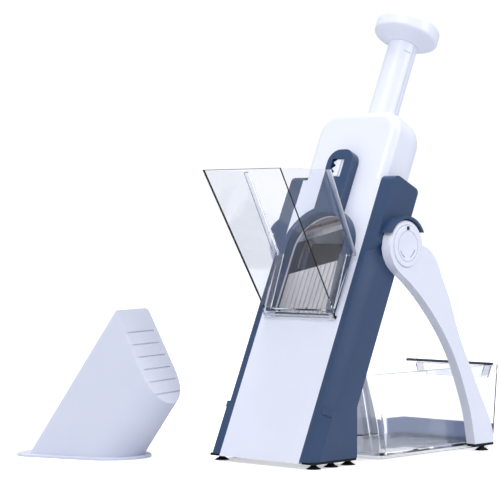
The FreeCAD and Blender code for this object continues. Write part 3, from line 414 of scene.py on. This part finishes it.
def lathe_group(name, outline):
    """A cylinder whose radius follows the outline, a list of (height, radius), both 0 to 1."""
    tree, given, output = new_group(name, [
        ("Radius", "NodeSocketFloat", 0.01), ("Height", "NodeSocketFloat", 0.01),
        ("Around", "NodeSocketInt", 64), ("Rings", "NodeSocketInt", 60)])
    tube = add(tree, "GeometryNodeMeshCylinder", {"Radius": 1.0},
               {"Depth": given.outputs["Height"], "Vertices": given.outputs["Around"],
                "Side Segments": given.outputs["Rings"]})
    spot = add(tree, "GeometryNodeInputPosition").outputs["Position"]
    parts = add(tree, "ShaderNodeSeparateXYZ", links={"Vector": spot})
    share = add(tree, "ShaderNodeMath", links={0: parts.outputs["Z"], 1: given.outputs["Height"]},
                operation="DIVIDE")
    level = add(tree, "ShaderNodeMath", {1: 0.5}, {0: share.outputs["Value"]}, operation="ADD")
    curve = add(tree, "ShaderNodeFloatCurve", links={"Value": level.outputs["Value"]})
    line = curve.mapping.curves[0]
    while len(line.points) < len(outline):
        line.points.new(0.5, 0.5)
    for point, (height, radius) in zip(line.points, outline):
        point.location = (height, radius)
        point.handle_type = "VECTOR"
    curve.mapping.update()
    wide = add(tree, "ShaderNodeMath", links={0: curve.outputs["Value"], 1: given.outputs["Radius"]},
               operation="MULTIPLY")
    x = add(tree, "ShaderNodeMath", links={0: parts.outputs["X"], 1: wide.outputs["Value"]},
            operation="MULTIPLY")
    y = add(tree, "ShaderNodeMath", links={0: parts.outputs["Y"], 1: wide.outputs["Value"]},
            operation="MULTIPLY")
    put = add(tree, "ShaderNodeCombineXYZ",
              links={"X": x.outputs["Value"], "Y": y.outputs["Value"], "Z": parts.outputs["Z"]})
    shaped = add(tree, "GeometryNodeSetPosition",
                 links={"Geometry": tube.outputs["Mesh"], "Position": put.outputs["Vector"]})
    return tree, given, shaped.outputs["Geometry"], output


# %% [markdown]
# The palm knob is the piece the hand meets, a fat button with a hollow underside edge and a
# soft rolled rim. Its outline is given as shares of its height and its radius, measured on
# the model, so a knob of another size keeps the same shape.

# %% Palm knob
knob_low, knob_high = upright_box("palm_knob")
knob_radius = (knob_high.x - knob_low.x) / 2
knob_height = knob_high.z - knob_low.z
knob_outline = [(0.0, 0.50), (0.06, 0.56), (0.14, 0.68), (0.22, 0.80), (0.29, 0.90), (0.34, 0.955),
                (0.39, 0.988), (0.44, 1.0), (0.80, 1.0), (0.86, 0.993), (0.91, 0.972), (0.95, 0.938),
                (0.98, 0.89), (1.0, 0.73)]
tree, _, shape, output = lathe_group("turned_knob", knob_outline)
finish_group(tree, shape, output, white_abs)
knob = run_group(tree, "palm_knob_turned",
                 {"Radius": knob_radius, "Height": knob_height, "Around": 96, "Rings": 100})
knob_at = Vector(((knob_high.x + knob_low.x) / 2, (knob_high.y + knob_low.y) / 2,
                  knob_low.z + knob_height / 2))
place_piece(knob, "palm_knob", to_lean @ Matrix.Translation(knob_at))

# %% [markdown]
# Six suction feet stand in two rows of three. One foot is turned with the lathe rule, its
# cup facing down, and the points of a small grid say where the copies stand.

# %% Suction feet
feet_low, feet_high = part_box("suction_feet_front")
foot_radius = 6.0 * MM
foot_outline = [(0.0, 1.0), (0.08, 0.99), (0.2, 0.86), (0.35, 0.70), (0.5, 0.55), (0.62, 0.42),
                (0.7, 0.385), (1.0, 0.385)]
tree, given, shape, output = lathe_group("suction_feet", foot_outline)
for label in ("Across", "Along"):
    tree.interface.new_socket(label, in_out="INPUT", socket_type="NodeSocketFloat")
grid = add(tree, "GeometryNodeMeshGrid", {"Vertices X": 2, "Vertices Y": 3},
           {"Size X": given.outputs["Across"], "Size Y": given.outputs["Along"]})
copies = add(tree, "GeometryNodeInstanceOnPoints", links={"Points": grid.outputs["Mesh"], "Instance": shape})
finish_group(tree, copies.outputs["Instances"], output, rubber)
feet = run_group(tree, "suction_feet_turned", {
    "Radius": foot_radius, "Height": feet_high.z - feet_low.z, "Around": 40, "Rings": 30,
    "Across": feet_high.x - feet_low.x - 2 * foot_radius, "Along": feet_high.y - feet_low.y - 2 * foot_radius})
place_piece(feet, "suction_feet_front", Matrix.Translation((feet_low + feet_high) / 2))

# %% [markdown]
# Nothing of the room is modelled: a pale floor that runs far back, a bright even sky and
# three large soft lamps give the plain product-table look. The sky is brightest where it is
# seen directly or through a clear wall, dimmer where it lights a dull surface, and dimmest
# in a reflection. So white plastic stays off-white in front of it, and dark plastic keeps
# its colour. The floor is paler where it is seen directly or through a clear wall. The
# plain view transform keeps the whites from being greyed.

# %% Floor and light
floor_mesh = bpy.data.meshes.new("floor")
reach = 6.0
floor_mesh.from_pydata([(-reach, -reach, 0), (reach, -reach, 0), (reach, reach, 0), (-reach, reach, 0)],
                       [], [(0, 1, 2, 3)])
floor = bpy.data.objects.new("floor", floor_mesh)
bpy.context.scene.collection.objects.link(floor)
floor_finish, tree, shader = new_material("pale_table_top", Roughness=0.6)
shader.inputs["Emission Color"].default_value = linear("FFFFFF")
place = add(tree, "ShaderNodeTexCoord").outputs["Object"]
path = add(tree, "ShaderNodeLightPath")
seen = add(tree, "ShaderNodeMath",
           links={0: path.outputs["Is Camera Ray"], 1: path.outputs["Is Transmission Ray"]},
           operation="MAXIMUM").outputs["Value"]
cloud = add(tree, "ShaderNodeTexNoise", {"Scale": 3.0}, {"Vector": place})
tone = add(tree, "ShaderNodeMix", {"A": linear("F4F5F8"), "B": linear("F8F9FB")},
           {"Factor": cloud.outputs["Fac"]}, data_type="RGBA")
cast = add(tree, "ShaderNodeMix", {"A": linear("CDCFD6")}, {"Factor": seen, "B": tone.outputs["Result"]},
           data_type="RGBA")
glow = add(tree, "ShaderNodeMath", {1: 0.5}, {0: seen}, operation="MULTIPLY")
tree.links.new(cast.outputs["Result"], shader.inputs["Base Color"])
tree.links.new(glow.outputs["Value"], shader.inputs["Emission Strength"])
floor_mesh.materials.append(floor_finish)

world = bpy.data.worlds.new("even_sky")
world.use_nodes = True
sky = world.node_tree
kind = add(sky, "ShaderNodeLightPath")
dull = add(sky, "ShaderNodeMapRange", {"To Min": 1.05, "To Max": 0.84},
           {"Value": kind.outputs["Is Diffuse Ray"]})
straight = add(sky, "ShaderNodeMath", {0: 1.0}, {1: kind.outputs["Is Transmission Ray"]}, operation="SUBTRACT")
mirrored = add(sky, "ShaderNodeMath", links={0: kind.outputs["Is Glossy Ray"], 1: straight.outputs["Value"]},
               operation="MULTIPLY")
level = add(sky, "ShaderNodeMapRange", {"To Max": 0.5},
            {"Value": mirrored.outputs["Value"], "To Min": dull.outputs["Result"]})
sky.nodes["Background"].inputs["Color"].default_value = linear("FBFCFF")
sky.links.new(level.outputs["Result"], sky.nodes["Background"].inputs["Strength"])
bpy.context.scene.world = world
bpy.context.scene.view_settings.view_transform = "Standard"


def soft_lamp(name, place, aim, width, height, watts):
    """A rectangular area lamp that faces the point it is aimed at."""
    data = bpy.data.lights.new(name, "AREA")
    data.shape = "RECTANGLE"
    data.size, data.size_y, data.energy = width, height, watts
    lamp = bpy.data.objects.new(name, data)
    bpy.context.scene.collection.objects.link(lamp)
    lamp.location = place
    lamp.rotation_euler = (Vector(aim) - Vector(place)).to_track_quat("-Z", "Y").to_euler()


middle = (0.0, 0.0, 0.18)
soft_lamp("key_lamp", (0.5, -1.7, 1.7), middle, 1.2, 1.0, 14)
soft_lamp("right_lamp", (1.6, 0.7, 1.1), middle, 0.6, 1.0, 9)
soft_lamp("top_lamp", (-0.2, 0.1, 2.0), middle, 1.0, 1.0, 16)
print("floor and lamps set")

# %% [markdown]
# The camera stands to the right of the front, almost level with the middle of the slicer,
# and far enough away for the lines to stay nearly parallel.

# %% Camera
camera_data = bpy.data.cameras.new("camera")
camera_data.sensor_width = 36.0
camera_data.lens = 148.1
camera = bpy.data.objects.new("camera", camera_data)
bpy.context.scene.collection.objects.link(camera)
camera.location = (1.1219, -1.3224, 0.1914)
camera.rotation_euler = Vector((-0.68151, 0.73173, -0.01100)).to_track_quat("-Z", "Y").to_euler()
bpy.context.scene.camera = camera
print("camera at", [round(c, 3) for c in camera.location])
